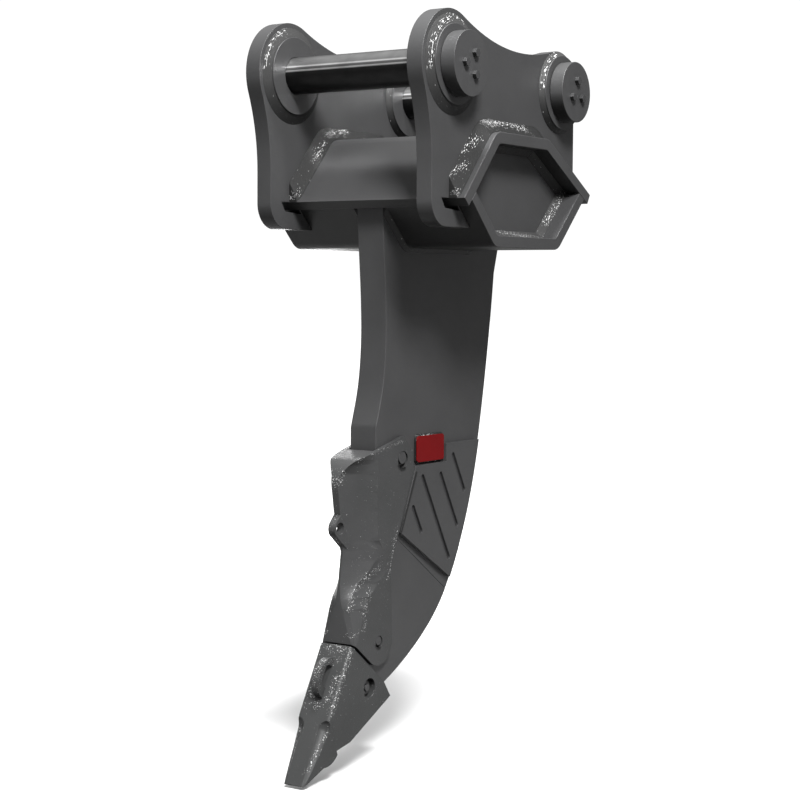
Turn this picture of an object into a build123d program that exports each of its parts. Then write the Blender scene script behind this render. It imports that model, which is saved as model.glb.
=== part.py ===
# Single shank ripper for an excavator, hung on two pins.
# Two ear plates stand on a box beam of bent plate, and a curved shank plate hangs from the beam.
# The shank ends in a welded nose with a pinned tooth, a pinned front guard and side wear plates.
# Sizes are in millimetres. X runs along the pins, -Y is the digging front and +Z is up.
# The origin is the middle of the front pin.
from build123d import *
from math import atan2, cos, degrees, hypot, radians, sin, sqrt, tan
import os

# Pins, bosses, caps and bolts
PIN_R = 45.0
REAR_PIN_Y = 527.0
REAR_PIN_Z = -17.0
FIT = 0.3
BOSS_R = 95.0
BOSS_PROUD = 15.0
PIN_PROUD = 2.0
CAP_R = 77.0
RIGHT_CAP_T, LEFT_CAP_T = 36.0, 20.0
BOLT_R = 6.0
BOLT_CIRCLE_R = 29.0
BOLT_FLATS = 19.0
BOLT_HEAD = 10.0
BOLT_GRIP = 34.0
BOLT_BOTTOM = 4.0
BOLTS = 3
FRONT_RING, REAR_RING, RING_RISE = 24.0, 11.0, 12.0

# Ear plates
EAR_GAP = 424.0
EAR_T = 42.0
EAR_FRONT_R = 130.5
EAR_REAR_R = 107.0
EAR_SADDLE_R = 690.0
EAR_FLANK_R = 520.0
EAR_FRONT_Y = -85.0
EAR_REAR_Y = 613.0
EAR_FOOT_Z = -378.0
EAR_FOOT_R = 62.0
RELIEF_AHEAD = 31.0
RELIEF_BELOW = 9.0

# Box beam of two bent plates, as places in the side view
BEAM_HALF = 298.0
BEAM_T = 28.0
BEAM_BEND_R = 48.0
LIP_Y, LIP_Z = -10.0, -311.0
RIDGE_FRONT_Y, RIDGE_REAR_Y, RIDGE_Z = 140.0, 398.0, -146.0
TAIL_Y, TAIL_Z = 628.0, -275.0
FLOOR_FRONT_Y, FLOOR_FRONT_Z = 32.0, -323.0
KEEL_FRONT_Y, KEEL_REAR_Y, KEEL_Z = 134.0, 453.0, -423.0
FLOOR_REAR_Y, FLOOR_REAR_Z = 569.0, -312.0
END_RECESS = 57.0
END_PLATE_T = 20.0
SHANK_SEAM = 12.0
EAR_SEAM_LEG, EAR_SEAM_RISE = 34.0, 30.0
END_SEAM = 17.0

# Blade of shank and nose: places of its front and back edges in the side view, from the top down
SHANK_T = 76.0
BLADE_FRONT = [(34, -290), (47, -480), (54, -600), (51, -695), (33, -796), (3, -895), (-4, -980),
               (0, -1080), (4, -1180), (-5, -1260), (-62, -1412)]
BLADE_BACK = [(577, -480), (566, -565), (543, -708), (511, -873), (470, -1031), (409, -1185),
              (316, -1331), (209, -1419), (48, -1500)]
BLADE_TOP_Y, BLADE_TOP_Z = 598.0, -412.0
SPLINE_STEPS = 16
JOINT_Y, JOINT_Z, JOINT_SLOPE = 135.0, -1166.0, -0.68
NOSE_GAP = 6.0
NOSE_HALF = 27.0
NOSE = [(-42, -1390), (-172, -1572), (-138, -1597), (28, -1518), (10, -1470)]
NOSE_FIT = 1.0

# Tooth, as places in the side view, with its length measured up from the tip
TOOTH_HALF = 48.0
TOOTH_FRONT_Y, TOOTH_FRONT_Z = -102.0, -1383.0
TOOTH_BACK_Y, TOOTH_BACK_Z = 37.0, -1493.0
HEEL_Y, HEEL_Z = 66.0, -1534.0
TIP_Y, TIP_Z = -277.0, -1693.0
TIP_HALF = 30.0
TIP_BLUNT = 5.0
TAPER_LENGTH = 172.0
TOOTH_EDGE_R = 11.0
TOOTH_PIN_Y, TOOTH_PIN_Z, TOOTH_PIN_R = -27.0, -1498.0, 9.0
TOOTH_PIN_HALF = 42.0
PIN_POCKET_R = 24.5
PIN_POCKET = 17.0
RETAINER_R = 16.0
RETAINER_T = 7.0
FLUTE_R = 25.0
FLUTE_TOP, FLUTE_TOP_OUT, FLUTE_TOP_X = 146.0, 10.0, 44.0
FLUTE_LOW, FLUTE_LOW_OUT, FLUTE_LOW_X = -5.0, 16.0, 46.0
NOTCH_TOP, NOTCH_LENGTH, NOTCH_DEPTH = 186.0, 50.0, 11.0
KNUCKLE_LENGTH, KNUCKLE_RISE = 54.0, 8.0
LOOP_MIDDLE, LOOP_HALF_LENGTH, LOOP_RISE = 270.0, 50.0, 42.0
LOOP_HALF = 9.0
LOOP_GAP_MIDDLE, LOOP_GAP_LENGTH, LOOP_GAP_RISE = 274.0, 52.0, 23.0
LOOP_GAP_R = 11.0

# Guard over the blade's front edge. Plan sections: height, front half width and Y, shoulder half width
# and Y, Y where the flat cheek starts
GUARD_HALF = 50.5
GUARD_FIT = 0.8
GUARD_SECTIONS = [(-860, 49.5, -118, 50.1, -55, 7), (-917, 49, -118, 49.8, -55, 7), (-938, 31, -118, 39.9, -61, 7),
                  (-951, 19, -118, 28.6, -79, 7), (-973, 8.5, -118, 14.7, -99, 7),
                  (-1015, 9.5, -106.5, 30.5, -50, 7), (-1060, 9, -100, 30.5, -44, 7),
                  (-1137, 6, -83, 30, -34, 8), (-1160, 4, -78, 47, -2, 26), (-1183, 3, -82, 48, 2, 60),
                  (-1209, 3, -86, 42, -18, 58), (-1242, 3, -90, 29, -55, 13), (-1273, 6, -93, 28, -78, -30),
                  (-1300, 12, -94, 30, -88, -52), (-1384, 40, -95, 48, -90, -84), (-1470, 40, -95, 48, -90, -84)]
GUARD_TOP = [(118, -890), (-109, -945)]
GUARD_TOP_R = 66.0
GUARD_REAR = [(62, -1200), (101, -1118), (164, -974), (158, -930)]
GUARD_LOBE_R = 58.0
UPPER_HOLE_Y, UPPER_HOLE_Z, UPPER_HOLE_R, UPPER_PIN_R = 114.0, -949.0, 22.0, 16.0
LOWER_HOLE_Y, LOWER_HOLE_Z, LOWER_HOLE_R, LOWER_PIN_R = 11.0, -1390.0, 15.0, 11.5
GUARD_PIN_HALF = 49.0
EYE_Y, EYE_Z, EYE_R = -99.5, -1101.0, 15.0
EYE_WALL = 7.5
EYE_HALF = 10.0
EYE_ROOT = [(-80, -1052), (-55, -1110), (-58, -1164)]

# Side wear plates with slots, and the badge
WEAR_T = 12.0
WEAR_INSET = 15.0
WEAR_LOW_Y, WEAR_LOW_Z, WEAR_LOW_SLOPE = 106.0, -1131.0, -0.60
WEAR_FRONT_LEAN = 23.0
WEAR_TOP_Z = -922.0
SLOT_W = 14.0
SLOT_PITCH = 86.5
SLOT_LEAN = 30.0
SLOT_Y, SLOT_Z = 121.0, -1000.0
SLOT_DEPTHS = [(152, 215), (78, 298), (78, 217), (33, 128)]
BADGE_T = 8.0
BADGE_FRONT, BADGE_REAR = 187.0, 315.0
BADGE_TOP, BADGE_HEIGHT = -896.0, 67.0
BADGE_R = 8.0
BADGE_SEAM = 5.0
BADGE_GAP = 1.0

EAR_IN = EAR_GAP / 2
EAR_OUT = EAR_IN + EAR_T
PIN_END = EAR_OUT + BOSS_PROUD + PIN_PROUD
CAP_T = {1: RIGHT_CAP_T, -1: LEFT_CAP_T}
SHANK_HALF = SHANK_T / 2
PINS = {"front": (0.0, 0.0, 180.0), "rear": (REAR_PIN_Y, REAR_PIN_Z, 90.0)}
ROOF = [(LIP_Y, LIP_Z), (RIDGE_FRONT_Y, RIDGE_Z), (RIDGE_REAR_Y, RIDGE_Z), (TAIL_Y, TAIL_Z)]
RINGS = {"front": FRONT_RING, "rear": REAR_RING}
KEEL = [(FLOOR_REAR_Y, FLOOR_REAR_Z), (KEEL_REAR_Y, KEEL_Z), (KEEL_FRONT_Y, KEEL_Z),
        (FLOOR_FRONT_Y, FLOOR_FRONT_Z)]
UPPER_PIN = (UPPER_HOLE_Y, UPPER_HOLE_Z + UPPER_HOLE_R - UPPER_PIN_R - FIT, UPPER_PIN_R)
BADGE_LOW = BADGE_TOP - BADGE_HEIGHT
LOWER_PIN = (LOWER_HOLE_Y, LOWER_HOLE_Z + LOWER_HOLE_R - LOWER_PIN_R - FIT, LOWER_PIN_R)
FAR = 3000.0
SQUARE = 90.0


# Side-view drawing: sketches have Y to the right and Z up
def region(*lines):
    """The face inside lines that meet end to end."""
    return Sketch() + make_face([edge for line in lines for edge in line.edges()])


def polygon(*points):
    return region(Polyline(*points, close=True))


def disc(y, z, r):
    return Pos(y, z) * Circle(r)


def slab(sketch, x0, x1):
    """Thickens a side-view sketch from X = x0 to x1, in either order."""
    return extrude(Plane.YZ.offset(min(x0, x1)) * sketch, abs(x1 - x0))


def rod(y, z, r, x0, x1):
    return slab(disc(y, z, r), x0, x1)


def seam(wide, narrow, x, way, leg, rise):
    """A weld on the face at X = x, growing along X in the way 1 or -1: it slopes from wide to narrow."""
    slope = degrees(atan2(leg, rise))
    bead = extrude(Plane.YZ.offset(way * x) * wide, rise, taper=slope) - slab(narrow, way * x, way * x + rise)
    return bead if way > 0 else mirror(bead, Plane.YZ)


def left_of(a, b):
    """Unit vector to the left of the way from a to b."""
    d = (Vector(*b) - Vector(*a)).normalized()
    return Vector(-d.Y, d.X)


def shifted(points, t):
    """An open line moved sideways by t, to the left of its direction, with mitred corners."""
    sides = [left_of(a, b) for a, b in zip(points, points[1:])]
    steps = [sides[0]] + [(m + n) / (1 + m.dot(n)) for m, n in zip(sides, sides[1:])] + [sides[-1]]
    return [Vector(*p) + step * t for p, step in zip(points, steps)]


def extended(points, length):
    """The same open line with both end runs made longer."""
    p = [Vector(*q) for q in points]
    return [p[0] + (p[0] - p[1]).normalized() * length, *p[1:-1],
            p[-1] + (p[-1] - p[-2]).normalized() * length]


def closed_at(line, z):
    """The region between a line and the level z."""
    a, b = line @ 0, line @ 1
    return region(line, Polyline(b, (b.X, z), (a.X, z), a))


def near(shape, y, z, count=1):
    """The edges along X that lie closest to (y, z) in the side view."""
    edges = shape.edges().filter_by(Axis.X)
    return edges.sort_by(lambda e: hypot((e @ 0.5).Y - y, (e @ 0.5).Z - z))[:count]


# Beam regions that the plates, the ears and the shank share
def below_roof(depth):
    """Everything below the upper bent plate's skin, at a depth into the plate."""
    return closed_at(FilletPolyline(*shifted(ROOF, -depth), radius=BEAM_BEND_R - depth), -FAR)


def above_keel(depth):
    """Everything above the lower bent plate's skin, at a depth into the plate."""
    return closed_at(FilletPolyline(*shifted(extended(KEEL, BEAM_T * 3), -depth), radius=BEAM_BEND_R - depth), FAR)


def roof_section():
    outer = FilletPolyline(*ROOF, radius=BEAM_BEND_R)
    inner = FilletPolyline(*shifted(ROOF, -BEAM_T), radius=BEAM_BEND_R - BEAM_T)
    return region(outer, Line(outer @ 1, inner @ 1), inner, Line(inner @ 0, outer @ 0))


def roof_plate():
    """The upper plate runs over the shank and ends in square cut lips at front and tail."""
    return slab(roof_section(), -BEAM_HALF, BEAM_HALF)


def floor_plate(side):
    """Half of the lower plate: it butts on the shank's side and on the underside of the roof plate."""
    section = (above_keel(0) - above_keel(BEAM_T)) & below_roof(BEAM_T)
    return slab(section, side * SHANK_HALF, side * BEAM_HALF)


def end_plate(side):
    """The recessed plate that closes one end of the beam."""
    outer = BEAM_HALF - END_RECESS
    return slab(below_roof(BEAM_T) & above_keel(BEAM_T), side * (outer - END_PLATE_T), side * outer)


# Ears, bosses, pins, caps and bolts
def ear_outline():
    """Two round pin ends joined by a hollow saddle, and a hollow front flank down to a straight edge."""
    rear = Vector(REAR_PIN_Y, REAR_PIN_Z)
    ra, rb = EAR_FRONT_R + EAR_SADDLE_R, EAR_REAR_R + EAR_SADDLE_R
    along = (rear.length**2 + ra**2 - rb**2) / (2 * rear.length)
    saddle = rear.normalized() * along + left_of((0, 0), rear) * sqrt(ra**2 - along**2)
    flank_y = EAR_FRONT_Y - EAR_FLANK_R
    flank = Vector(flank_y, -sqrt((EAR_FLANK_R + EAR_FRONT_R)**2 - flank_y**2))
    body = polygon(saddle.normalized() * EAR_FRONT_R, rear + (saddle - rear).normalized() * EAR_REAR_R, rear,
                   (EAR_REAR_Y, REAR_PIN_Z), (EAR_REAR_Y, EAR_FOOT_Z), (EAR_FRONT_Y, EAR_FOOT_Z),
                   (EAR_FRONT_Y, flank.Y), flank.normalized() * EAR_FRONT_R)
    body += disc(0, 0, EAR_FRONT_R) + disc(REAR_PIN_Y, REAR_PIN_Z, EAR_REAR_R)
    return body - disc(saddle.X, saddle.Y, EAR_SADDLE_R) - disc(flank.X, flank.Y, EAR_FLANK_R)


def ear(side):
    """An ear plate straddles the beam: its front foot hooks under the lip, round a relief hole."""
    plate = slab(ear_outline(), side * EAR_IN, side * EAR_OUT)
    plate = fillet(near(plate, EAR_FRONT_Y, EAR_FOOT_Z), EAR_FOOT_R)
    under_lip = shifted(ROOF, -BEAM_T)[0]
    relief = polygon((LIP_Y - RELIEF_AHEAD, LIP_Z), (LIP_Y - RELIEF_AHEAD / 2, under_lip.Y - RELIEF_BELOW / 2),
                     (under_lip.X + RELIEF_AHEAD, under_lip.Y - RELIEF_BELOW), (LIP_Y + BEAM_T, LIP_Z))
    under_beam = polygon((KEEL_FRONT_Y, KEEL_Z), (FLOOR_FRONT_Y, FLOOR_FRONT_Z), (TAIL_Y, TAIL_Z),
                         (FAR, TAIL_Z), (FAR, KEEL_Z))
    beam = roof_section() + (below_roof(BEAM_T) & above_keel(0))
    plate -= slab(beam + relief + under_beam, side * EAR_IN, side * EAR_OUT)
    for y, z, turn in PINS.values():
        plate -= rod(y, z, BOSS_R + FIT, side * EAR_IN, side * EAR_OUT)
    return plate


def boss(side, y, z):
    """A round boss welded through the ear, proud on both faces."""
    x0, x1 = side * (EAR_IN - BOSS_PROUD), side * (EAR_OUT + BOSS_PROUD)
    return rod(y, z, BOSS_R, x0, x1) - rod(y, z, PIN_R + FIT, x0, x1)


def bolt_places(y, z, turn):
    """Places on the bolt circle in the side view, the first one at the angle turn."""
    for k in range(BOLTS):
        a = radians(turn + k * 360 / BOLTS)
        yield y + BOLT_CIRCLE_R * cos(a), z + BOLT_CIRCLE_R * sin(a)


def pin(y, z, turn):
    """A plain pin with blind bolt holes in both ends."""
    bar = rod(y, z, PIN_R, -PIN_END, PIN_END)
    depth = BOLT_GRIP + BOLT_BOTTOM
    for side in (1, -1):
        for by, bz in bolt_places(y, z, turn):
            bar -= rod(by, bz, BOLT_R + FIT, side * (PIN_END - depth), side * PIN_END)
    return bar


def cap(side, y, z, turn):
    """A plain round cap with bolt holes; the right one is the thicker."""
    out = PIN_END + CAP_T[side]
    plate = rod(y, z, CAP_R, side * PIN_END, side * out)
    for by, bz in bolt_places(y, z, turn):
        plate -= rod(by, bz, BOLT_R + FIT, side * PIN_END, side * out)
    return plate


def cap_bolts(side, y, z, turn):
    """Hexagon bolts through a cap into the pin end, one solid each."""
    head = RegularPolygon(BOLT_FLATS / 2, 6, major_radius=False)
    out = PIN_END + CAP_T[side]
    return Compound([rod(by, bz, BOLT_R, side * (PIN_END - BOLT_GRIP), side * out)
                     + slab(Pos(by, bz) * head, side * out, side * (out + BOLT_HEAD))
                     for by, bz in bolt_places(y, z, turn)])


def boss_welds(side):
    """Sloped weld rings round both bosses, on the outer and the inner face of an ear."""
    rings = []
    for name, (y, z, _) in PINS.items():
        wide, narrow = disc(y, z, BOSS_R + RINGS[name]), disc(y, z, BOSS_R)
        rings += [seam(wide, narrow, side * EAR_OUT, side, RINGS[name], RING_RISE),
                  seam(wide, narrow, side * EAR_IN, -side, RINGS[name], RING_RISE)]
    return Compound([solid for ring in rings for solid in ring.solids()])


def beam_welds(side):
    """Broad sloped welds along the beam's upper skin on both faces of an ear."""
    wide, narrow = below_roof(-EAR_SEAM_LEG), below_roof(0)
    beads = [seam(wide, narrow, side * EAR_OUT, side, EAR_SEAM_LEG, EAR_SEAM_RISE),
             seam(wide, narrow, side * EAR_IN, -side, EAR_SEAM_LEG, EAR_SEAM_RISE)]
    on_ear = slab(ear_outline() & polygon((LIP_Y, LIP_Z), (TAIL_Y, LIP_Z), (TAIL_Y, 0), (LIP_Y, 0)),
                  side * (EAR_IN - EAR_SEAM_RISE), side * (EAR_OUT + EAR_SEAM_RISE))
    return Compound([solid for bead in beads for solid in (bead & on_ear).solids()])


def end_weld(side):
    """The weld that runs round the recessed end plate, in the corner with the bent plates."""
    face = BEAM_HALF - END_RECESS
    recess = slab(below_roof(BEAM_T) & above_keel(BEAM_T), face, face + END_SEAM)
    inner = below_roof(BEAM_T + END_SEAM) & above_keel(BEAM_T + END_SEAM)
    ring = recess - extrude(Plane.YZ.offset(face) * inner, END_SEAM, taper=-SQUARE / 2)
    return ring if side > 0 else mirror(ring, Plane.YZ)


# Shank and nose
def beside(line, t):
    """A smooth line at the distance t to the right of another."""
    places = [k / SPLINE_STEPS for k in range(SPLINE_STEPS + 1)]
    return Spline(*[line @ u + Vector((line % u).Y, -(line % u).X) * t for u in places])


def blade(front_gap=0.0, back_gap=0.0):
    """Side view of shank and nose together, from above the beam down past the tooth's shoulder.

    With gaps, both edges lie that far outside the true ones.
    """
    front, back = beside(Spline(*BLADE_FRONT), front_gap), beside(Spline(*BLADE_BACK), -back_gap)
    top = Polyline(back @ 0, (BLADE_TOP_Y, BLADE_TOP_Z), (BLADE_TOP_Y, 0), ((front @ 0).X, 0), front @ 0)
    return region(front, Line(front @ 1, back @ 1), back, top)


def above_joint():
    """The region above the slanted weld joint between shank and nose."""
    rise = FAR * JOINT_SLOPE
    return polygon((JOINT_Y - FAR, JOINT_Z - rise), (JOINT_Y + FAR, JOINT_Z + rise),
                   (JOINT_Y + FAR, FAR), (JOINT_Y - FAR, FAR))


def above_shoulder():
    """The region above the gap that the tooth leaves under the guard and the nose's shoulder."""
    line = shifted([(TOOTH_FRONT_Y, TOOTH_FRONT_Z), (TOOTH_BACK_Y, TOOTH_BACK_Z)], NOSE_GAP)
    a, b = extended(line, FAR)
    return polygon(a, b, (b.X, FAR), (a.X, FAR))


def shank():
    """One thick plate whose head fills the beam under the roof plate, from lip to tail."""
    plate = slab(blade() & below_roof(BEAM_T) & above_joint(), -SHANK_HALF, SHANK_HALF)
    y, z, r = UPPER_PIN
    return plate - rod(y, z, r + FIT, -SHANK_HALF, SHANK_HALF)


def shank_welds():
    """Welds along the underside of the beam on both faces of the shank."""
    wide, narrow = above_keel(-SHANK_SEAM), above_keel(0)
    beads = [seam(wide, narrow, side * SHANK_HALF, side, SHANK_SEAM, SHANK_SEAM) for side in (1, -1)]
    on_shank = slab(blade() & below_roof(BEAM_T), -SHANK_HALF - SHANK_SEAM, SHANK_HALF + SHANK_SEAM)
    return Compound([solid for bead in beads for solid in (bead & on_shank).solids()])


def nose():
    """The lower end of the blade, with the narrower nose that the tooth sits on."""
    body = slab((blade() - above_joint()) & above_shoulder(), -SHANK_HALF, SHANK_HALF)
    body += slab(polygon(*NOSE), -NOSE_HALF, NOSE_HALF)
    y, z, r = LOWER_PIN
    body -= rod(y, z, r + FIT, -SHANK_HALF, SHANK_HALF)
    return body - rod(TOOTH_PIN_Y, TOOTH_PIN_Z, TOOTH_PIN_R + FIT, -NOSE_HALF, NOSE_HALF)


# Tooth: its frames have their origin at the tip
TIP = Vector(0, TIP_Y, TIP_Z)
TOOTH_FRONT = Vector(0, TOOTH_FRONT_Y, TOOTH_FRONT_Z)
TOOTH_BACK = Vector(0, TOOTH_BACK_Y, TOOTH_BACK_Z)
HEEL = Vector(0, HEEL_Y, HEEL_Z)


def side_frame(towards, x=0.0):
    """A side-view plane at X = x with its x direction from the tip towards a point."""
    return Plane(TIP + Vector(x, 0, 0), x_dir=towards - TIP, z_dir=(1, 0, 0))


def tip_taper():
    """Both wedges that narrow the tooth from its full width to its tip."""
    up = ((TOOTH_FRONT + TOOTH_BACK) / 2 - TIP).normalized()
    plan = Plane(TIP, x_dir=up, z_dir=Vector(1, 0, 0).cross(up))
    wedge = polygon((TAPER_LENGTH, TOOTH_HALF), (0, TIP_HALF), (-TAPER_LENGTH, TIP_HALF),
                    (-TAPER_LENGTH, TOOTH_HALF * 2), (TAPER_LENGTH, TOOTH_HALF * 2))
    return extrude(plan * (wedge + mirror(wedge, Plane.XZ)), FAR / 10, both=True)


def flutes():
    """Two round flutes down the front corners: each runs out over the tip and ends round at the top."""
    face = side_frame(TOOTH_FRONT)
    for side in (1, -1):
        top = face.from_local_coords((FLUTE_TOP, FLUTE_TOP_OUT, side * FLUTE_TOP_X))
        low = face.from_local_coords((FLUTE_LOW, FLUTE_LOW_OUT, side * FLUTE_LOW_X))
        yield Plane(top, z_dir=low - top) * extrude(Circle(FLUTE_R), (low - top).length) + Pos(top) * Sphere(FLUTE_R)


def lifting_loop():
    """A flat half-round handle on the middle of the front face, with its opening against the face."""
    above_roots = Pos(LOOP_MIDDLE, LOOP_RISE - LOOP_HALF) * Rectangle(2 * LOOP_HALF_LENGTH, 2 * LOOP_RISE)
    outer = Pos(LOOP_MIDDLE, 0) * Ellipse(LOOP_HALF_LENGTH, LOOP_RISE) & above_roots
    opening = Pos(LOOP_GAP_MIDDLE, 0) * Rectangle(LOOP_GAP_LENGTH, 2 * LOOP_GAP_RISE)
    opening = fillet(opening.vertices(), LOOP_GAP_R)
    return extrude(side_frame(TOOTH_FRONT, -LOOP_HALF) * (outer - opening), 2 * LOOP_HALF)


def tooth():
    """Cast wedge tooth over the nose: tapered tip, fluted corners, pry notch, knuckle, loop, pin pockets."""
    under = side_frame(HEEL)
    ends = NOTCH_TOP - NOTCH_LENGTH, NOTCH_TOP - NOTCH_LENGTH - KNUCKLE_LENGTH
    places = [(ends[0], 0), (sum(ends) / 2, -KNUCKLE_RISE), (ends[1], 0), (sum(ends) / 2, KNUCKLE_RISE)]
    a, b, c, inner = [(p.Y, p.Z) for p in (under.from_local_coords((*place, 0)) for place in places)]
    wedge = polygon((TOOTH_FRONT_Y, TOOTH_FRONT_Z), (TIP_Y, TIP_Z), (HEEL_Y, HEEL_Z), (TOOTH_BACK_Y, TOOTH_BACK_Z))
    wedge += region(ThreePointArc(a, b, c), Polyline(c, inner, a))
    body = slab(wedge, -TOOTH_HALF, TOOTH_HALF) - tip_taper()
    front_edges = body.edges().filter_by(lambda e: abs((e @ 0.5).X) > TIP_HALF and on_front(e))
    body = fillet(front_edges, TOOTH_EDGE_R) + lifting_loop()
    for flute in flutes():
        body -= flute
    notch = Polyline((NOTCH_TOP, 0), (NOTCH_TOP - NOTCH_LENGTH, NOTCH_DEPTH), (NOTCH_TOP - NOTCH_LENGTH, -1),
                     (NOTCH_TOP, -1), close=True)
    body -= extrude(under * region(notch), TOOTH_HALF * 2, both=True)
    blunt = polygon((-TAPER_LENGTH, -TAPER_LENGTH), (TIP_BLUNT, -TAPER_LENGTH), (TIP_BLUNT, TAPER_LENGTH),
                    (-TAPER_LENGTH, TAPER_LENGTH))
    body -= extrude(side_frame((TOOTH_FRONT + TOOTH_BACK) / 2) * blunt, TOOTH_HALF * 2, both=True)
    mouth = offset(polygon(*NOSE), NOSE_FIT, kind=Kind.INTERSECTION)
    body -= slab(mouth, -NOSE_HALF - NOSE_FIT, NOSE_HALF + NOSE_FIT)
    body -= rod(TOOTH_PIN_Y, TOOTH_PIN_Z, TOOTH_PIN_R + FIT, -TOOTH_HALF, TOOTH_HALF)
    for side in (1, -1):
        body -= rod(TOOTH_PIN_Y, TOOTH_PIN_Z, PIN_POCKET_R, side * (TOOTH_HALF - PIN_POCKET), side * TOOTH_HALF)
    return body


def on_front(edge):
    """Whether an edge lies in the tooth's front face."""
    face = side_frame(TOOTH_FRONT)
    return all(abs(face.to_local_coords(edge @ t).Y) < FIT for t in (0, 1))


def tooth_pin():
    return rod(TOOTH_PIN_Y, TOOTH_PIN_Z, TOOTH_PIN_R, -TOOTH_PIN_HALF, TOOTH_PIN_HALF)


def tooth_pin_retainers():
    """A lock ring on each end of the tooth pin, against the bottom of its pocket."""
    floor = TOOTH_HALF - PIN_POCKET
    ring = disc(TOOTH_PIN_Y, TOOTH_PIN_Z, RETAINER_R) - disc(TOOTH_PIN_Y, TOOTH_PIN_Z, TOOTH_PIN_R + FIT)
    return Compound([slab(ring, side * floor, side * (floor + RETAINER_T)) for side in (1, -1)])


# Guard, wear plates and badge
def guard_outline():
    """Side view of the guard: sloped top, cheeks back to the wear plates and a round lobe at the low pin."""
    low = shifted([(TOOTH_FRONT_Y, TOOTH_FRONT_Z), (TOOTH_BACK_Y, TOOTH_BACK_Z)], NOSE_GAP)
    body = polygon(*GUARD_TOP, (GUARD_TOP[1][0], low[0].Y), low[0],
                   Vector(LOWER_HOLE_Y, LOWER_HOLE_Z) - left_of(*low) * GUARD_LOBE_R,
                   (LOWER_HOLE_Y + GUARD_LOBE_R, LOWER_HOLE_Z), *GUARD_REAR)
    nose_corner = body.vertices().sort_by_distance(Vector(*GUARD_TOP[1]))[0]
    body = fillet(nose_corner, GUARD_TOP_R)
    return (body + disc(LOWER_HOLE_Y, LOWER_HOLE_Z, GUARD_LOBE_R)) & above_shoulder()


def guard_plan(z, front_half, front_y, shoulder_half, shoulder_y, cheek_y):
    """One level section of the guard: a blunt prow that widens over a shoulder to flat cheeks."""
    back = GUARD_REAR[2][0] * 2
    half = [(front_half, front_y), (shoulder_half, shoulder_y), (GUARD_HALF, cheek_y), (GUARD_HALF, back)]
    return Plane.XY.offset(z) * polygon(*half, *[(-x, y) for x, y in reversed(half)])


def guard():
    """Cast guard with a prow and a lifting eye, open at the back for the blade."""
    body = loft([guard_plan(*s).face() for s in GUARD_SECTIONS], ruled=True)
    body &= slab(guard_outline(), -GUARD_HALF, GUARD_HALF)
    eye = make_hull((disc(EYE_Y, EYE_Z, EYE_R + EYE_WALL) + polygon(*EYE_ROOT)).edges())
    body += slab(eye, -EYE_HALF, EYE_HALF)
    body -= rod(EYE_Y, EYE_Z, EYE_R, -GUARD_HALF, GUARD_HALF)
    body -= slab(blade(front_gap=GUARD_FIT), -SHANK_HALF - GUARD_FIT, SHANK_HALF + GUARD_FIT)
    body -= rod(UPPER_HOLE_Y, UPPER_HOLE_Z, UPPER_HOLE_R, -GUARD_HALF, GUARD_HALF)
    return body - rod(LOWER_HOLE_Y, LOWER_HOLE_Z, LOWER_HOLE_R, -GUARD_HALF, GUARD_HALF)


def guard_pin(y, z, r):
    """A plain pin in the blade: the guard hangs on it by the top of its larger hole."""
    return rod(y, z, r, -GUARD_PIN_HALF, GUARD_PIN_HALF)


def wear_slot(k):
    """One slot of the row: parallel slanted slots at an even pitch, each with its own ends."""
    slope = tan(radians(SLOT_LEAN))
    ends = [WEAR_TOP_Z - depth for depth in SLOT_DEPTHS[k]]
    line_y = SLOT_Y + k * SLOT_PITCH
    bar = Line(*[(line_y + (SLOT_Z - z) * slope, z) for z in ends])
    return Pos(bar @ 0.5) * Rot(0, 0, 90 + SLOT_LEAN) * SlotCenterToCenter(bar.length, SLOT_W)


def wear_plate(side):
    """Slotted plate welded on the blade's side; on the badge's side it has a corner cut out for it."""
    lean = tan(radians(WEAR_FRONT_LEAN))
    front_top = (WEAR_LOW_Y + (WEAR_TOP_Z - WEAR_LOW_Z) * lean, WEAR_TOP_Z)
    outline = polygon((WEAR_LOW_Y, WEAR_LOW_Z), front_top, (FAR, WEAR_TOP_Z),
                      (FAR, WEAR_LOW_Z + (FAR - WEAR_LOW_Y) * WEAR_LOW_SLOPE))
    outline &= blade(back_gap=-WEAR_INSET)
    if side > 0:
        rim = BADGE_SEAM + BADGE_GAP
        outline -= polygon((-FAR, BADGE_LOW - rim), (BADGE_REAR + rim, BADGE_LOW - rim), (BADGE_REAR + rim, FAR),
                           (-FAR, FAR))
    for k in range(len(SLOT_DEPTHS)):
        outline -= wear_slot(k)
    return slab(outline, side * SHANK_HALF, side * (SHANK_HALF + WEAR_T))


def badge_shape(rim=0.0):
    """Side view of the badge, or of its edge moved out by rim."""
    width = BADGE_REAR - BADGE_FRONT
    middle = Pos((BADGE_FRONT + BADGE_REAR) / 2, (BADGE_TOP + BADGE_LOW) / 2)
    return middle * RectangleRounded(width + 2 * rim, BADGE_HEIGHT + 2 * rim, BADGE_R + rim)


def badge():
    return slab(badge_shape(), SHANK_HALF, SHANK_HALF + BADGE_T)


def badge_weld():
    """The weld that runs round the badge."""
    return seam(badge_shape(BADGE_SEAM), badge_shape(), SHANK_HALF, 1, BADGE_SEAM, BADGE_SEAM)


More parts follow.
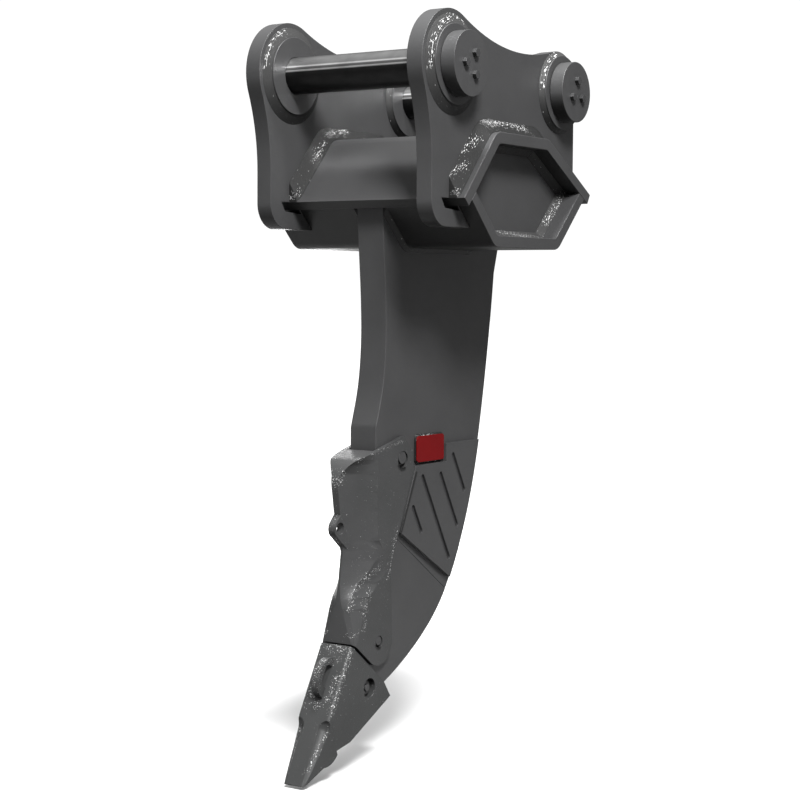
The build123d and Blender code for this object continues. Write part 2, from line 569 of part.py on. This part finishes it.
def nodes():
    """Every node of the part by name."""
    parts = {"beam_roof_plate": roof_plate(), "shank": shank(), "nose_adapter": nose(), "shank_guard": guard(),
             "tooth": tooth(), "tooth_pin": tooth_pin(), "tooth_pin_retainers": tooth_pin_retainers(),
             "upper_guard_pin": guard_pin(*UPPER_PIN), "lower_guard_pin": guard_pin(*LOWER_PIN),
             "badge_plate": badge(), "badge_weld": badge_weld(), "shank_welds": shank_welds()}
    for name, place in PINS.items():
        parts[f"{name}_pin"] = pin(*place)
    for hand, side in (("right", 1), ("left", -1)):
        parts[f"ear_plate_{hand}"] = ear(side)
        parts[f"beam_floor_plate_{hand}"] = floor_plate(side)
        parts[f"beam_end_plate_{hand}"] = end_plate(side)
        parts[f"wear_plate_{hand}"] = wear_plate(side)
        parts[f"boss_welds_{hand}"] = boss_welds(side)
        parts[f"beam_welds_{hand}"] = beam_welds(side)
        parts[f"end_weld_{hand}"] = end_weld(side)
        for name, (y, z, turn) in PINS.items():
            parts[f"{name}_boss_{hand}"] = boss(side, y, z)
            parts[f"{name}_pin_cap_{hand}"] = cap(side, y, z, turn)
            parts[f"{name}_cap_bolts_{hand}"] = cap_bolts(side, y, z, turn)
    return parts


os.makedirs("parts", exist_ok=True)
for node, shape in nodes().items():
    export_step(shape, f"parts/{node}.step")
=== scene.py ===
"""Looks of a single shank ripper for an excavator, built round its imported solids.

Every solid keeps its place. This script gives each one its finish and rounds its edges, and adds the
weld metal in the slots of the wear plates, the floor, the light and the camera. Lengths are in metres in
the part's own frame: X along the pins, -Y the digging front, +Z up, origin in the middle of the front pin.
"""
from math import cos, pi, radians, sin, tan

import bpy
import numpy as np
from mathutils import Matrix, Vector


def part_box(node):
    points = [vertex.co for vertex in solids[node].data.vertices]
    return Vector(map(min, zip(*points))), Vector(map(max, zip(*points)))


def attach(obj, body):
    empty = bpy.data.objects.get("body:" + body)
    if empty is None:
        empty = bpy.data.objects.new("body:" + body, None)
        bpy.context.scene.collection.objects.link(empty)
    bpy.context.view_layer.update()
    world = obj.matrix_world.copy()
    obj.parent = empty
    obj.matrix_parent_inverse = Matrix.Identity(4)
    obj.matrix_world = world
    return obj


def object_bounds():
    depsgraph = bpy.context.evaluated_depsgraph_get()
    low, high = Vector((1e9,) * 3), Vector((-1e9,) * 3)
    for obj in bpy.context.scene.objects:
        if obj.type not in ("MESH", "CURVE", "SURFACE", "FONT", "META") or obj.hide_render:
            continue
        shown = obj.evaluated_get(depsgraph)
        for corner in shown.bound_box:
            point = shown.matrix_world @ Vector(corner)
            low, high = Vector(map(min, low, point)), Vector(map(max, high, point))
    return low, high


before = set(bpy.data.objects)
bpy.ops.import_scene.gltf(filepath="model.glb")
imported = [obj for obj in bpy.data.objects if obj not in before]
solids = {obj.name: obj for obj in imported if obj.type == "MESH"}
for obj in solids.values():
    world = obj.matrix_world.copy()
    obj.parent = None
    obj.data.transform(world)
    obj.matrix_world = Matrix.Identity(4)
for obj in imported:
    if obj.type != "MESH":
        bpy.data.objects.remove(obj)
cad_box = [list(corner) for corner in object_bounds()]

# Ear plates
# Two thick flame-cut plates that stand across the box beam. The whole weldment is sprayed in one
# dark grey satin machine enamel, which lies thin and even on rolled plate.
ENAMEL = ((0.046, 0.046, 0.047), (0.054, 0.054, 0.055))
# The three colours below are painted light: a near black painted shade for faces that look down, a black
# painted shadow for dark lines, and the pale grey of painted glints.
UNDERSIDE_SHADE = (0.02, 0.02, 0.02, 1.0)
LINE_SHADOW = (0.006, 0.006, 0.006, 1.0)
GLINT_GREY = (0.75, 0.75, 0.75, 1.0)


class Wire:
    """A shader socket that takes part in sums: each operator adds a Math node."""

    def __init__(self, socket):
        self.socket = socket

    def sum_with(self, operation, first, second):
        tree = self.socket.node.id_data
        node = tree.nodes.new("ShaderNodeMath")
        node.operation = operation
        for put, value in zip(node.inputs, (first, second)):
            if isinstance(value, Wire):
                tree.links.new(value.socket, put)
            else:
                put.default_value = value
        return Wire(node.outputs[0])

    def __add__(self, other):
        return self.sum_with("ADD", self, other)

    def __sub__(self, other):
        return self.sum_with("SUBTRACT", self, other)

    def __rsub__(self, other):
        return self.sum_with("SUBTRACT", other, self)

    def __mul__(self, other):
        return self.sum_with("MULTIPLY", self, other)

    def __pow__(self, power):
        return self.sum_with("POWER", self, power)

    def __gt__(self, other):
        return self.sum_with("GREATER_THAN", self, other)

    def __abs__(self):
        return self.sum_with("ABSOLUTE", self, 0.0)

    def most(self, other):
        """The larger of two values."""
        return self.sum_with("MAXIMUM", self, other)

    def held(self):
        """The value, kept between 0 and 1."""
        return self.sum_with("MINIMUM", self.most(0.0), 1.0)

    __radd__ = __add__
    __rmul__ = __mul__


class Finish:
    """A material under construction, whose shader is a Principled BSDF."""

    def __init__(self, name, roughness, metallic=0.0, specular=0.5):
        self.material = bpy.data.materials.new(name)
        self.material.use_nodes = True
        self.tree = self.material.node_tree
        self.shader = self.tree.nodes["Principled BSDF"]
        self.shader.inputs["Roughness"].default_value = roughness
        self.shader.inputs["Metallic"].default_value = metallic
        self.shader.inputs["Specular IOR Level"].default_value = specular
        self.place = self.node("ShaderNodeTexCoord", {}, {}, "Object")

    def node(self, kind, settings, values, output=0):
        """Adds a node: its settings first (stops fill a ramp), then the values or wires of its sockets."""
        node = self.tree.nodes.new(kind)
        for name, value in settings.items():
            if name == "stops":
                ramp = node.color_ramp.elements
                for _ in value[2:]:
                    ramp.new(0.5)
                for stop, (position, tone) in zip(ramp, value):
                    colour = tone if isinstance(tone, tuple) else (tone, tone, tone)
                    stop.position, stop.color = position, (*colour, 1.0)
            else:
                setattr(node, name, value)
        for name, value in values.items():
            if isinstance(value, Wire):
                self.tree.links.new(value.socket, node.inputs[name])
            else:
                node.inputs[name].default_value = value
        return Wire(node.outputs[output])

    def face(self):
        """The direction that the surface faces."""
        return self.node("ShaderNodeTexCoord", {}, {}, "Normal")

    def vector(self, operation, first, second, output=0):
        return self.node("ShaderNodeVectorMath", {"operation": operation}, {0: first, 1: second}, output)

    def axis(self, vector, letter):
        return self.node("ShaderNodeSeparateXYZ", {}, {0: vector}, letter)

    def both_hands(self, vector):
        """The vector with its X made positive, so that the left side matches the right."""
        parts = {letter: self.axis(vector, letter) for letter in "XYZ"}
        parts["X"] = abs(parts["X"])
        return self.node("ShaderNodeCombineXYZ", {}, parts)

    def noise(self, scale, detail, stretch=(1, 1, 1)):
        """Cloudy noise from 0 to 1 with scale lumps in a metre, stretched along the part's axes."""
        return self.node("ShaderNodeTexNoise", {}, {"Vector": self.vector("MULTIPLY", self.place, stretch),
                                                    "Scale": scale, "Detail": detail, "Roughness": 0.55})

    def ramp(self, value, *stops):
        """Each stop is a position and a grey, or a position and a colour."""
        return self.node("ShaderNodeValToRGB", {"stops": stops}, {"Fac": value})

    def blend(self, share, first, second, way="MIX"):
        """A colour that goes from first to second as share goes from 0 to 1."""
        values = {0: share, 6: first, 7: second}
        return self.node("ShaderNodeMix", {"data_type": "RGBA", "blend_type": way}, values, 2)

    def near(self, radius, *points):
        """1 on the broken line through points, falling to 0 at radius from it, alike on both hands.

        On each run from a to b the nearest point is a + t (b - a), where t is how far along the run the
        surface lies, held between 0 and 1. The nearest of the runs counts.
        """
        place, nearest = self.both_hands(self.place), None
        for a, b in zip(points, points[1:]):
            run = Vector(b) - Vector(a)
            from_a = self.vector("SUBTRACT", place, a)
            t = self.vector("DOT_PRODUCT", from_a, run / run.length_squared, "Value").held()
            step = self.node("ShaderNodeVectorMath", {"operation": "SCALE"}, {0: run, "Scale": t})
            beside = (1.0 - self.vector("DISTANCE", from_a, step, "Value") * (1.0 / radius)).held()
            nearest = beside.most(nearest) if nearest else beside
        return nearest

    def near_any(self, lines):
        """1 on any of the lines, each of which is its radius and then its places on the right side."""
        nearest = self.near(*lines[0])
        for line in lines[1:]:
            nearest = nearest.most(self.near(*line))
        return nearest

    def feed(self, socket, wire):
        self.tree.links.new(wire.socket, self.shader.inputs[socket])

    def bump(self, height, distance):
        """Raises the surface by height (0 to 1) times distance in metres."""
        self.feed("Normal", self.node("ShaderNodeBump", {}, {"Height": height, "Distance": distance}))


def enamel(finish, low, high, glint=0.0, shadow_lines=(), shade_under=1.0):
    """Clouds between the colours low and high, with pale grey painted glints where the glint wire is 1.

    Faces that look down are painted near black and given some metal, a painted shade that dims them, the
    whole of it where the share of underside shade is 1. A black painted shadow lies along the shadow lines.
    """
    # Painted shade: faces that look down get a near black colour and some metal, which dims them.
    downward = finish.axis(finish.face(), "Z") * -1.0
    scale = finish.ramp(downward, (0.1, 0.0), (0.55, 1.0)) * shade_under
    coat = finish.ramp(finish.noise(6.0, 4.0), (0.3, low), (0.7, high))
    coat = finish.blend(scale, coat, UNDERSIDE_SHADE)
    if shadow_lines:
        coat = finish.blend(finish.near_any(shadow_lines) ** 0.4, coat, LINE_SHADOW)
    finish.feed("Base Color", finish.blend(glint, coat, GLINT_GREY))
    finish.feed("Metallic", scale * 0.6)


def paint(name, low, high, roughness, grain, depth, glint_lines=(), shadow_lines=(), shade_under=1.0, specular=0.5):
    """Satin enamel over a grain of so many lumps per metre, whose tops get painted glints along the glint
    lines.
    """
    finish = Finish(name, roughness, specular=specular)
    glint = 0.0
    if glint_lines:
        # Painted glints: grain tops near the given lines are coloured pale grey.
        tops = finish.noise(340.0, 2.0) + 0.145 * finish.near_any(glint_lines)
        glint = finish.ramp(tops, (0.73, 0.0), (0.77, 0.8))
    enamel(finish, low, high, glint, shadow_lines, shade_under)
    finish.feed("Roughness", roughness - 0.06 + 0.12 * finish.noise(18.0, 5.0))
    finish.bump(finish.noise(grain, 2.0) + 0.35 * finish.noise(grain * 0.16, 2.0), depth)
    return finish.material


def dress(material, slot, *names, edge=0.0015):
    """Gives solids their material and rounds their edges by edge metres; the slot is not used.

    A solid comes as loose triangles, so these are joined into whole flat faces before its edges are
    rounded, and the shading of the flat faces is kept flat.
    """
    for name in names:
        node = solids[name]
        node.data.materials.clear()
        node.data.materials.append(material)
        weld = node.modifiers.new("weld", "WELD")
        weld.merge_threshold = 1e-5
        whole = node.modifiers.new("whole faces", "DECIMATE")
        whole.decimate_type = "DISSOLVE"
        whole.angle_limit = radians(0.3)
        bevel = node.modifiers.new("rounded edges", "BEVEL")
        bevel.width = edge
        bevel.segments = 2
        bevel.limit_method = "ANGLE"
        bevel.angle_limit = radians(35)
        node.modifiers.new("flat faces", "WEIGHTED_NORMAL").weight = 100


plate_paint = paint("plate_enamel", *ENAMEL, roughness=0.42, grain=900.0, depth=0.00012)
dress(plate_paint, "dark_paint", "ear_plate_right", "ear_plate_left")

# Bosses, pin caps and cap screws
# Turned steel rounds welded through the ears, with a flat round cap over each pin end, all under the
# same enamel. Three hexagon screws in oiled black steel hold each cap.
CORNERS = ("front_{}_right", "front_{}_left", "rear_{}_right", "rear_{}_left")
dress(plate_paint, "dark_paint", *(corner.format(part) for corner in CORNERS for part in ("boss", "pin_cap")))
oiled = paint("black_screw_steel", (0.035, 0.035, 0.036), (0.05, 0.05, 0.051),
              roughness=0.2, grain=700.0, depth=0.0001)
dress(oiled, "bolt_steel", *(corner.format("cap_bolts") for corner in CORNERS), edge=0.0008)

# Pins
# Two plain ground steel bars, coloured in bands up their height: two bright stripes along the front are
# painted reflections, and the grey above them and the near black under them are a painted lit top and
# shaded underside. A band is a share of the bar's height and a grey.
PAINTED_LIGHT_BANDS = ((0.0, 0.02), (0.2, 0.022), (0.54, 0.04), (0.58, 0.9), (0.61, 0.18),
         (0.66, 0.2), (0.69, 1.0), (0.73, 0.3), (0.92, 0.32), (1.0, 0.1))
for bar in ("front_pin", "rear_pin"):
    ground = Finish(bar + "_steel", 0.3, metallic=0.9)
    bottom, top = (corner[2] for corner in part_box(bar))
    height = (ground.axis(ground.place, "Z") - bottom) * (1.0 / (top - bottom))
    stains = ground.ramp(ground.noise(40.0, 4.0, stretch=(0.5, 1, 1)), (0.3, 0.7), (0.7, 1.0))
    ground.feed("Base Color", ground.blend(1.0, ground.ramp(height, *PAINTED_LIGHT_BANDS), stains, "MULTIPLY"))
    rings = ground.noise(220.0, 3.0, stretch=(1, 0.02, 0.02))
    ground.feed("Roughness", 0.26 + 0.15 * rings)
    ground.bump(rings, 0.00002)
    dress(ground.material, "pin_steel", bar)

# Box beam
# One bent plate over two bent halves, welded to the ears and the shank, with a flat plate set back in
# each end.
dress(plate_paint, "dark_paint", "beam_roof_plate", "beam_floor_plate_right", "beam_floor_plate_left",
      "beam_end_plate_right", "beam_end_plate_left")


# Welds
# Broad multi-pass seams between plates, painted over. The ripples of the passes stay visible as short
# dashes along the seam, and their tops carry painted glints along the given lines.
def bead(name, ways, shade, glint_lines, shadow_lines=()):
    """Weld metal painted from shade up, where ways gives how far along and over its seam a place lies.

    Its ripples are noise with 150 lumps in a metre along the seam and 520 over it.
    """
    finish = Finish(name, 0.46, specular=0.2)
    along, over = ways(finish)
    spot = finish.node("ShaderNodeCombineXYZ", {}, {"X": along * 150.0, "Y": over * 520.0})
    ripples = finish.node("ShaderNodeTexNoise", {}, {"Vector": spot, "Scale": 1.0, "Detail": 2.0})
    # Painted glints on the ripple tops near the given lines.
    glint = finish.ramp(ripples + 0.165 * finish.near_any(glint_lines), (0.72, 0.0), (0.76, 1.0))
    enamel(finish, (shade, shade, shade), (1.3 * shade, 1.3 * shade, 1.3 * shade), glint, shadow_lines)
    finish.bump(ripples + 0.8 * finish.noise(70.0, 2.0), 0.0008)
    return finish.material


def straight_seam(finish):
    """The X part of the cross product of place and face runs along the seam, and X runs over it.

    Both are 1.4 times as long as on the seam, which makes the ripples finer than on a ring seam.
    """
    turned = finish.vector("CROSS_PRODUCT", finish.place, finish.face())
    return finish.axis(turned, "X") * 1.4, finish.axis(finish.place, "X") * 1.4


def ring_seam(finish):
    """The angle from the top of the nearer pin times 60 mm, and the distance from that pin's middle."""
    low, high = (Vector(corner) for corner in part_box("rear_pin"))
    rear_pin = (low + high) / 2
    y, z = finish.axis(finish.place, "Y"), finish.axis(finish.place, "Z")
    at_rear = y > rear_pin.y / 2
    y, z = y - rear_pin.y * at_rear, z - rear_pin.z * at_rear
    return y.sum_with("ARCTAN2", y, z) * 0.06, (y * y + z * z) ** 0.5


# One weld metal in three greys: the straight seams, which face the lamps, are painted darker and the recess
# welds lighter, a painted light and shade. The straight weld's last, dark line is a painted shadow along the
# badge's front edge.
straight = bead(
    "straight_weld", straight_seam, shade=0.015,
    glint_lines=((0.030, (0.262, 0.142, -0.122), (0.256, 0.256, -0.114), (0.264, 0.330, -0.124)),
          (0.022, (0.266, 0.095, -0.165), (0.254, 0.042, -0.197)),
          (0.020, (0.270, 0.043, -0.230), (0.254, -0.003, -0.251)),
          (0.022, (0.2755, -0.010, -0.299), (0.254, -0.055, -0.296)),
          (0.026, (0.198, 0.137, -0.133), (0.209, 0.229, -0.115)),
          (0.018, (0.193, 0.071, -0.203), (0.193, 0.114, -0.155)),
          (0.018, (0.190, 0.000, -0.287), (0.208, -0.010, -0.302)),
          (0.012, (0.042, 0.192, -0.896), (0.046, 0.345, -0.904)),
          (0.009, (0.0435, 0.191, -0.963), (0.0435, 0.315, -0.968))),
    shadow_lines=((0.007, (0.042, 0.187, -0.906), (0.042, 0.187, -0.958)),))
recessed = bead(
    "recess_weld", straight_seam, shade=0.045,
    glint_lines=((0.024, (0.245, 0.237, -0.375), (0.254, 0.335, -0.391), (0.265, 0.441, -0.391)),
          (0.024, (0.249, 0.474, -0.352), (0.262, 0.555, -0.281))))
rings = bead(
    "boss_weld", ring_seam, shade=0.036,
    glint_lines=((0.015, (0.260, -0.107, -0.016), (0.261, -0.102, 0.016), (0.261, -0.088, 0.056),
           (0.260, -0.057, 0.090), (0.256, -0.002, 0.115), (0.256, 0.044, 0.107)),
          (0.012, (0.262, 0.428, -0.015), (0.263, 0.440, 0.027), (0.262, 0.463, 0.058),
           (0.262, 0.500, 0.080)),
          (0.013, (0.210, -0.116, 0.007), (0.210, -0.100, 0.055), (0.210, -0.070, 0.090),
           (0.210, -0.034, 0.109))))
dress(straight, "weld_bead", "badge_weld", "shank_welds", "beam_welds_right", "beam_welds_left", edge=0.001)
dress(recessed, "weld_bead", "end_weld_right", "end_weld_left", edge=0.001)
dress(rings, "weld_bead", "boss_welds_right", "boss_welds_left", edge=0.001)

# Shank and nose
# One very thick flame-cut plate whose head fills the beam, and a separate lower end that is welded on
# along a slant. Both carry the plates' enamel.
dress(plate_paint, "dark_paint", "shank", "nose_adapter", edge=0.002)

# Wear plates and badge
# Hard slotted plates welded on the sides of the shank, with a dark painted shadow along their slanted
# front edges, and a small red enamelled plate above the right one.
wear_paint = paint("wear_plate_enamel", *ENAMEL, roughness=0.42, grain=900.0, depth=0.00012, shade_under=0.15,
                   shadow_lines=((0.005, (0.050, 0.177, -0.9867), (0.050, 0.1095, -1.129)),))
dress(wear_paint, "dark_paint", "wear_plate_right", "wear_plate_left", edge=0.0012)
red = paint("badge_enamel", (0.12, 0.002, 0.003), (0.16, 0.003, 0.004),
            roughness=0.5, grain=900.0, depth=0.0001, specular=0.15)
dress(red, "badge_red", "badge_plate")

# Slot welds
# Each slot of a wear plate is filled with weld metal that holds the plate to the shank. It stops about
# five millimetres below the plate's face, and its paint is darker, a painted shade for the groove.
SLOT_LEAN = radians(30.0)
SLOT_PITCH = 0.0865
SLOT_Y, SLOT_Z = 0.121, -1.000
SLOT_ENDS = ((-1.074, -1.137), (-1.000, -1.220), (-1.000, -1.139), (-0.955, -1.050))
SLOT_LEVELS = ((0.0383, 0.0068), (0.0438, 0.0068), (0.0449, 0.0055), (0.0452, 0.0030))
# Painted shade: the fill is a darker grey than the plates.
slot_paint = paint("slot_enamel", (0.026, 0.026, 0.027), (0.034, 0.034, 0.035),
                   roughness=0.45, grain=500.0, depth=0.0003)


def slot_fill(name, side):
    """A bar with round ends in each slot, made of a loop of points at each of its levels.

    The slots' middle lines lean, cross the height SLOT_Z at SLOT_Y and every SLOT_PITCH behind it, and
    end at the heights in SLOT_ENDS. A level is a distance from the middle plane and a radius. Its loop
    is a half circle round the upper end of the line and one round the lower: the end plus the radius
    times (cos a, sin a).
    """
    half_turn = np.linspace(-pi / 2, pi / 2, 13)
    loop = np.arange(2 * len(half_turn))
    following = np.roll(loop, -1)
    wall = np.column_stack([loop, following, len(loop) + following, len(loop) + loop])
    points, faces = [], []
    for k, ends in enumerate(SLOT_ENDS):
        upper, lower = ((SLOT_Y + k * SLOT_PITCH + (SLOT_Z - z) * tan(SLOT_LEAN), z) for z in ends)
        for x, radius in SLOT_LEVELS:
            for (y, z), way in ((upper, pi / 2 + SLOT_LEAN), (lower, SLOT_LEAN - pi / 2)):
                a = half_turn + way
                points.append(np.column_stack([np.full_like(a, side * x), y + radius * np.cos(a),
                                               z + radius * np.sin(a)]))
        inner = k * len(loop) * len(SLOT_LEVELS)
        outer = inner + len(loop) * (len(SLOT_LEVELS) - 1)
        for level in range(inner, outer, len(loop)):
            faces += (level + wall)[:, ::side].tolist()
        faces.append((outer + loop)[::side].tolist())
        faces.append((inner + loop)[::-side].tolist())
    mesh = bpy.data.meshes.new(name)
    mesh.from_pydata(np.vstack(points).tolist(), [], faces)
    mesh.materials.append(slot_paint)
    fill = bpy.data.objects.new(name, mesh)
    bpy.context.scene.collection.objects.link(fill)
    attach(fill, "root")


slot_fill("slot_welds_right", 1)
slot_fill("slot_welds_left", -1)

# Guard and tooth
# Sand castings in hard steel, pinned on. Their skin is coarser than plate, and its tops carry painted glints
# along the tooth's front edges and lifting loop and over the guard's creases, eye and top edge. Painted
# shadows lie under the guard's pins.
tooth_paint = paint(
    "tooth_enamel", (0.041, 0.042, 0.042), (0.053, 0.054, 0.054),
    roughness=0.4, grain=420.0, depth=0.0005, specular=0.3,
    glint_lines=((0.026, (0, -0.105, -1.388), (0.045, -0.104, -1.394)),
          (0.018, (0.0469, -0.103, -1.397), (0.0455, -0.150, -1.478), (0.044, -0.181, -1.528)),
          (0.022, (0.016, -0.122, -1.417), (0.006, -0.150, -1.415), (0.005, -0.175, -1.428),
           (0, -0.188, -1.461)),
          (0.018, (0.030, -0.140, -1.450), (0.030, -0.166, -1.495), (0, -0.182, -1.524)),
          (0.012, (0.040, -0.191, -1.570), (0.032, -0.220, -1.613), (0.027, -0.257, -1.663)),
          (0.007, (0.048, -0.014, -1.520), (0.048, -0.003, -1.506))))
guard_paint = paint(
    "guard_enamel", (0.045, 0.046, 0.046), (0.057, 0.057, 0.058),
    roughness=0.4, grain=420.0, depth=0.0005, specular=0.3,
    glint_lines=((0.016, (0.0505, 0.086, -1.120), (0.0505, 0.068, -1.183), (0.0505, 0.051, -1.236)),
          (0.018, (0.047, 0.021, -1.205), (0.034, -0.039, -1.233), (0.028, -0.072, -1.265),
           (0.030, -0.088, -1.299)),
          (0.015, (0.045, -0.024, -1.258), (0.0505, -0.049, -1.300), (0.0505, -0.053, -1.346),
           (0.041, -0.091, -1.363), (0.030, -0.095, -1.355)),
          (0.026, (0.049, -0.045, -1.290), (0.0505, -0.052, -1.306)),
          (0.016, (0.033, -0.064, -0.934), (0.044, -0.048, -0.932)),
          (0.008, (0.049, -0.020, -0.924), (0.0505, 0.111, -0.903)),
          (0.021, (0, -0.109, -1.000), (0.020, -0.097, -0.966)),
          (0.010, (0, -0.099, -1.070), (0, -0.122, -1.104), (0, -0.092, -1.137))),
    shadow_lines=((0.008, (0.0505, 0.096, -0.962), (0.0505, 0.107, -0.970), (0.0505, 0.120, -0.970)),
            (0.006, (0.0505, -0.002, -1.397), (0.0505, 0.004, -1.404), (0.0505, 0.014, -1.405))))
dress(tooth_paint, "cast_steel", "tooth", edge=0.003)
dress(guard_paint, "cast_steel", "shank_guard", edge=0.003)
dress(plate_paint, "pin_steel", "upper_guard_pin", "lower_guard_pin", "tooth_pin", edge=0.0008)
dress(plate_paint, "bolt_steel", "tooth_pin_retainers", edge=0.0008)

# Floor, light and camera
# A white studio floor just under the tooth, a dim even room, a soft lamp high at the front right, a
# smaller one overhead and a wide weak one behind at the left. The ripper is held up by its pins.
FLOOR_GAP = 0.00726
FLOOR_REACH = 60.0
FLOOR_SIDES = 96

# The floor is a level disc: a rim of points at the reach times (cos a, sin a), and one in the middle.
a = np.linspace(0, 2 * pi, FLOOR_SIDES, endpoint=False)
rim = np.column_stack([FLOOR_REACH * np.cos(a), FLOOR_REACH * np.sin(a), np.zeros_like(a)])
around = np.arange(FLOOR_SIDES)
wedges = np.column_stack([around, np.roll(around, -1), np.full_like(around, FLOOR_SIDES)])
disc = np.vstack([rim, [0, 0, 0]]) + [0, 0, cad_box[0][2] - FLOOR_GAP]
floor_mesh = bpy.data.meshes.new("studio_floor")
floor_mesh.from_pydata(disc.tolist(), [], wedges.tolist())
floor = bpy.data.objects.new("studio_floor", floor_mesh)
bpy.context.scene.collection.objects.link(floor)

# The camera sees the floor white, while the light that it throws back on the ripper is that of a grey
# one. Far from the ripper it glows, so that it meets the white room without a line.
pale = Finish("pale_floor", 0.9)
seen = pale.node("ShaderNodeLightPath", {}, {}, "Is Camera Ray")
reach = pale.node("ShaderNodeVectorMath", {"operation": "LENGTH"}, {0: pale.place}, "Value")
glow = pale.ramp(reach * 0.1, (0.17, 0.0), (0.6, 1.0))
pale.feed("Base Color", pale.blend(seen, (0.27, 0.27, 0.27, 1.0), (0.8, 0.8, 0.8, 1.0)))
pale.feed("Emission Color", pale.blend(seen, (0.0, 0.0, 0.0, 1.0), glow))
pale.shader.inputs["Emission Strength"].default_value = 1.0
floor_mesh.materials.append(pale.material)

# The room lights the ripper dimly, and more from overhead, but is white where the camera looks at it.
world = bpy.data.worlds.new("studio_room")
bpy.context.scene.world = world
world.use_nodes = True
sky = world.node_tree
direction = sky.nodes.new("ShaderNodeTexCoord").outputs["Generated"]
parts = sky.nodes.new("ShaderNodeSeparateXYZ")
sky.links.new(direction, parts.inputs[0])
overhead = (Wire(parts.outputs["Z"]) * 1.4 - 0.4).most(0.0)
room = 0.16 + 0.5 * overhead
watched = Wire(sky.nodes.new("ShaderNodeLightPath").outputs["Is Camera Ray"])
background = sky.nodes["Background"]
sky.links.new((room + watched * (1.05 - room)).socket, background.inputs["Strength"])
background.inputs["Color"].default_value = (1, 1, 1, 1)


def softbox(name, place, aim, size, watts):
    """A square area lamp at place, turned towards aim."""
    lamp = bpy.data.lights.new(name, "AREA")
    lamp.shape = "SQUARE"
    lamp.size = size
    lamp.energy = watts
    holder = bpy.data.objects.new(name, lamp)
    away = (Vector(place) - Vector(aim)).normalized()
    holder.matrix_world = Matrix.Translation(place) @ away.to_track_quat("Z", "Y").to_matrix().to_4x4()
    bpy.context.scene.collection.objects.link(holder)


softbox("key_lamp", place=(2.8, -2.3, 3.0), aim=(0, 0.2, -0.6), size=1.2, watts=465.0)
softbox("top_lamp", place=(0.4, -0.3, 3.4), aim=(0, 0.1, -0.3), size=0.5, watts=215.0)
softbox("back_lamp", place=(-3.4, 2.8, -0.2), aim=(0, 0.2, -0.7), size=2.4, watts=150.0)

EYE = Vector((2.4452, -3.5666, -0.5237))
YAW, PITCH, ROLL = radians(33.1625), radians(3.5974), radians(0.3396)
FOCAL_PIXELS, PICTURE_PIXELS = 1771.68, 800.0
ahead = Vector((-sin(YAW) * cos(PITCH), cos(YAW) * cos(PITCH), -sin(PITCH)))
level_right = Vector((cos(YAW), sin(YAW), 0))
level_up = level_right.cross(ahead)
right = level_right * cos(ROLL) + level_up * sin(ROLL)
up = level_up * cos(ROLL) - level_right * sin(ROLL)
lens = bpy.data.cameras.new("camera")
lens.sensor_width = 36.0
lens.lens = FOCAL_PIXELS * lens.sensor_width / PICTURE_PIXELS
lens.clip_end = 200.0
camera = bpy.data.objects.new("camera", lens)
turn = Matrix((right, up, -ahead)).transposed().to_4x4()
camera.matrix_world = Matrix.Translation(EYE) @ turn
bpy.context.scene.collection.objects.link(camera)
bpy.context.scene.camera = camera
bpy.context.scene.view_settings.view_transform = "Standard"
